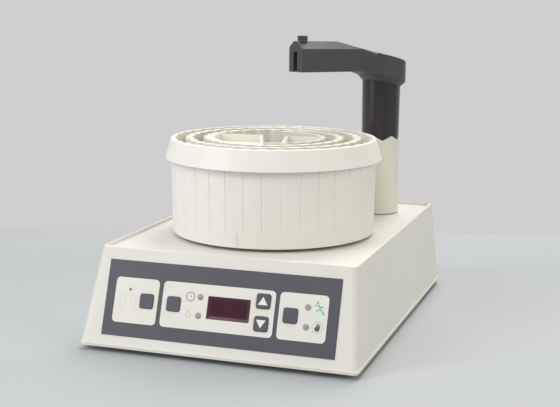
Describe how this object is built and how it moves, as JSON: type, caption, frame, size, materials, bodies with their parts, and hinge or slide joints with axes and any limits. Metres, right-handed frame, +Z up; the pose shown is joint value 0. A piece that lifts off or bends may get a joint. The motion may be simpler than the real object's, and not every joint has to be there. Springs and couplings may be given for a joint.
{
  "type": "fraction collector",
  "caption": "Bench fraction collector: a sloped-front housing with keys and display, a round tube rack that turns, and a swinging drop arm on a post.",
  "frame": {"origin": "on the table below the middle of the base", "axes": "+X to the operator's right, +Y to the back, +Z up"},
  "size_m": [0.27, 0.3738, 0.288],
  "materials": {
    "ivory_case": "fine satin",
    "ivory_rack": "satin moulded",
    "rubber": "matt",
    "steel": "turned",
    "motor_body": "satin",
    "bronze": "turned",
    "gear_plastic": "natural",
    "panel_grey": "textured film",
    "window_cream": "textured film",
    "display_red": "smooth filter",
    "black_plastic": "moulded",
    "key_grey": "moulded",
    "lamp": "frosted lens",
    "board_green": "solder mask",
    "arm_grey": "fine texture",
    "turntable_plastic": "moulded",
    "copper": "taped winding"
  },
  "bodies": {
    "base": {"housing_shell": "ivory_case", "base_plate": "ivory_case", "rubber_feet": "rubber", "foot_screws": "steel", "panel_overlay": "panel_grey", "panel_windows": "window_cream", "display_window": "display_red", "display_module": "black_plastic", "indicator_lamps": "lamp", "control_board": "board_green", "key_switches": "black_plastic", "hub_bush": "bronze", "bearing_bridge": "steel", "lower_bush": "bronze", "drive_motor": "motor_body", "drive_motor_bracket": "steel", "arm_motor": "motor_body", "arm_motor_bracket": "steel", "bracket_screws": "steel", "board_screws": "steel", "post_bush": "bronze", "power_inlet": "black_plastic", "inlet_pins": "bronze", "power_switch": "black_plastic", "transformer_core": "steel", "transformer_coil": "copper", "supply_board": "board_green", "supply_spacers": "gear_plastic"},
    "turntable": {"turntable": "turntable_plastic", "hub_spindle": "steel", "spindle_clip": "steel", "drive_pegs": "steel", "drive_gear": "gear_plastic"},
    "drive_rotor": {"drive_motor_shaft": "steel", "drive_pinion": "gear_plastic"},
    "rack": {"rack_dish": "ivory_rack", "rack_drum": "ivory_rack", "rack_skirt": "ivory_rack", "guide_wall_outer": "ivory_rack", "guide_wall_middle": "ivory_rack", "guide_wall_inner": "ivory_rack"},
    "post": {"arm_post": "ivory_rack", "shaft_bushes": "bronze", "arm_gear": "gear_plastic"},
    "arm_rotor": {"arm_motor_shaft": "steel", "arm_pinion": "gear_plastic"},
    "arm": {"arm_beam": "arm_grey", "arm_sleeve": "arm_grey", "arm_shaft": "steel", "shaft_collar": "steel", "arm_spring": "steel", "drop_nozzle": "steel", "drop_sensors": "black_plastic"},
    "knob": {"clamp_knob": "arm_grey"},
    "advance_key": {"key_advance": "key_grey"},
    "mode_key": {"key_mode": "key_grey"},
    "up_key": {"key_up": "key_grey"},
    "down_key": {"key_down": "key_grey"},
    "run_key": {"key_run": "key_grey"},
    "rocker": {"power_rocker": "black_plastic"}
  },
  "joints": [
    {"name": "turntable_spin", "type": "hinge", "parent": "base", "child": "turntable", "pos_m": [0, -0.0198, 0], "axis": [0, 0, 1], "continuous": true},
    {"name": "drive_motor_spin", "type": "hinge", "parent": "base", "child": "drive_rotor", "pos_m": [0, 0.0252, 0], "axis": [0, 0, 1], "continuous": true},
    {"name": "rack_lift", "type": "slide", "parent": "turntable", "child": "rack", "axis": [0, 0, 1], "range_m": [0, 0.04]},
    {"name": "arm_swing", "type": "hinge", "parent": "base", "child": "post", "pos_m": [0.0744, 0.1277, 0], "axis": [0, 0, 1], "range_deg": [-5, 51]},
    {"name": "arm_motor_spin", "type": "hinge", "parent": "base", "child": "arm_rotor", "pos_m": [0.0354, 0.1277, 0], "axis": [0, 0, 1], "range_deg": [-171, 17]},
    {"name": "arm_lift", "type": "slide", "parent": "post", "child": "arm", "axis": [0, 0, 1], "range_m": [0, 0.008], "stiffness_N_per_m": 250, "deforming": ["arm_spring"]},
    {"name": "knob_turn", "type": "hinge", "parent": "arm", "child": "knob", "pos_m": [0.01515, 0.02508, 0], "axis": [0, 0, 1], "range_deg": [0, 180]},
    {"name": "rocker_tilt", "type": "hinge", "parent": "base", "child": "rocker", "pos_m": [0.022, 0.18065, 0.04285], "axis": [-1, 0, 0], "range_deg": [-16, 0]},
    {"name": "advance_press", "type": "slide", "parent": "base", "child": "advance_key", "axis": [0, 0.9436, -0.3311], "range_m": [0, 0.0005], "stiffness_N_per_m": 400},
    {"name": "mode_press", "type": "slide", "parent": "base", "child": "mode_key", "axis": [0, 0.9436, -0.3311], "range_m": [0, 0.0005], "stiffness_N_per_m": 400},
    {"name": "up_press", "type": "slide", "parent": "base", "child": "up_key", "axis": [0, 0.9436, -0.3311], "range_m": [0, 0.0005], "stiffness_N_per_m": 400},
    {"name": "down_press", "type": "slide", "parent": "base", "child": "down_key", "axis": [0, 0.9436, -0.3311], "range_m": [0, 0.0005], "stiffness_N_per_m": 400},
    {"name": "run_press", "type": "slide", "parent": "base", "child": "run_key", "axis": [0, 0.9436, -0.3311], "range_m": [0, 0.0005], "stiffness_N_per_m": 400}
  ],
  "couplings": [
    {"joint": "drive_motor_spin", "follows": "turntable_spin", "ratio": -4},
    {"joint": "arm_motor_spin", "follows": "arm_swing", "ratio": -3.3333}
  ]
}
